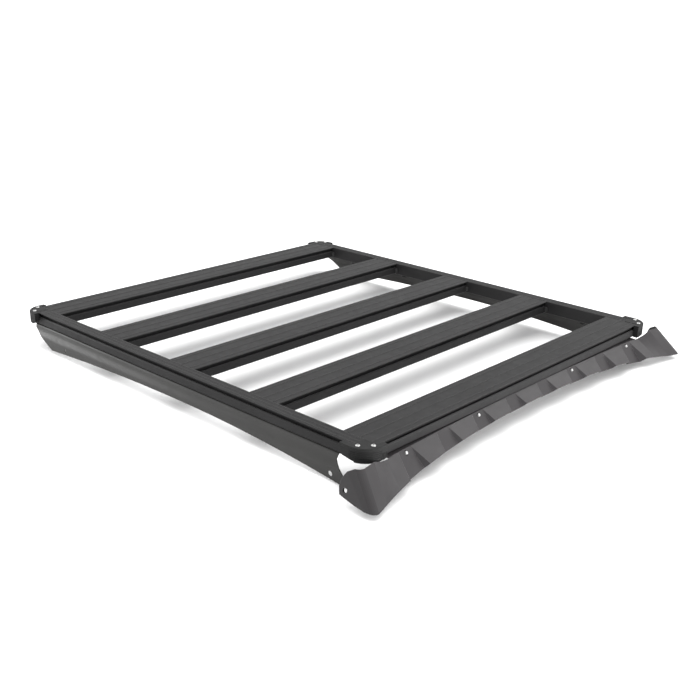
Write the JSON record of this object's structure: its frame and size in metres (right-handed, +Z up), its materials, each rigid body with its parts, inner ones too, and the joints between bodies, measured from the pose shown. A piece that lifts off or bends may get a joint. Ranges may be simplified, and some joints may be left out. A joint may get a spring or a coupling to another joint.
{
  "type": "roof cargo platform",
  "caption": "Flat black roof rack of cross planks in a rounded frame with T-slots, side skirts and a fluted front wind deflector.",
  "frame": {"origin": "centre of the load deck, on the middle rib of the centre plank, level with all rib tops", "axes": "+Z up out of the deck, +Y to the vehicle's rear (the wind deflector faces -Y), +X to the vehicle's left"},
  "size_m": [1.3028, 1.3595, 0.1045],
  "materials": {
    "extrusion_coat": "fine-textured satin black powder coat on aluminium",
    "cap_coat": "fine-textured satin black powder coat on cast aluminium",
    "casting_coat": "coarser satin black coat on cast aluminium",
    "skirt_coat": "satin black powder coat on sheet steel",
    "deflector_coat": "satin black powder coat on sheet aluminium",
    "bracket_coat": "satin black powder coat on steel",
    "weld_coat": "powder coat over rippled weld beads",
    "fastener_steel": "bright stainless steel"
  },
  "bodies": {
    "root": {"bracket_bolts": "fastener_steel", "corner_screws": "fastener_steel", "deflector_bolts": "fastener_steel", "deflector_nuts": "fastener_steel", "fourth_plank": "extrusion_coat", "front_left_corner_block": "casting_coat", "front_left_corner_cap": "cap_coat", "front_plank": "extrusion_coat", "front_right_corner_block": "casting_coat", "front_right_corner_cap": "cap_coat", "inner_left_deflector_bracket": "bracket_coat", "inner_right_deflector_bracket": "bracket_coat", "left_side_rail": "extrusion_coat", "left_skirt": "skirt_coat", "middle_plank": "extrusion_coat", "outer_left_deflector_bracket": "bracket_coat", "outer_right_deflector_bracket": "bracket_coat", "rear_left_corner_block": "casting_coat", "rear_left_corner_cap": "cap_coat", "rear_plank": "extrusion_coat", "rear_right_corner_block": "casting_coat", "rear_right_corner_cap": "cap_coat", "right_side_rail": "extrusion_coat", "right_skirt": "skirt_coat", "second_plank": "extrusion_coat", "skirt_bolts": "bracket_coat", "weld_beads": "weld_coat", "wind_deflector": "deflector_coat", "wing_doublers": "bracket_coat"}
  },
  "joints": []
}
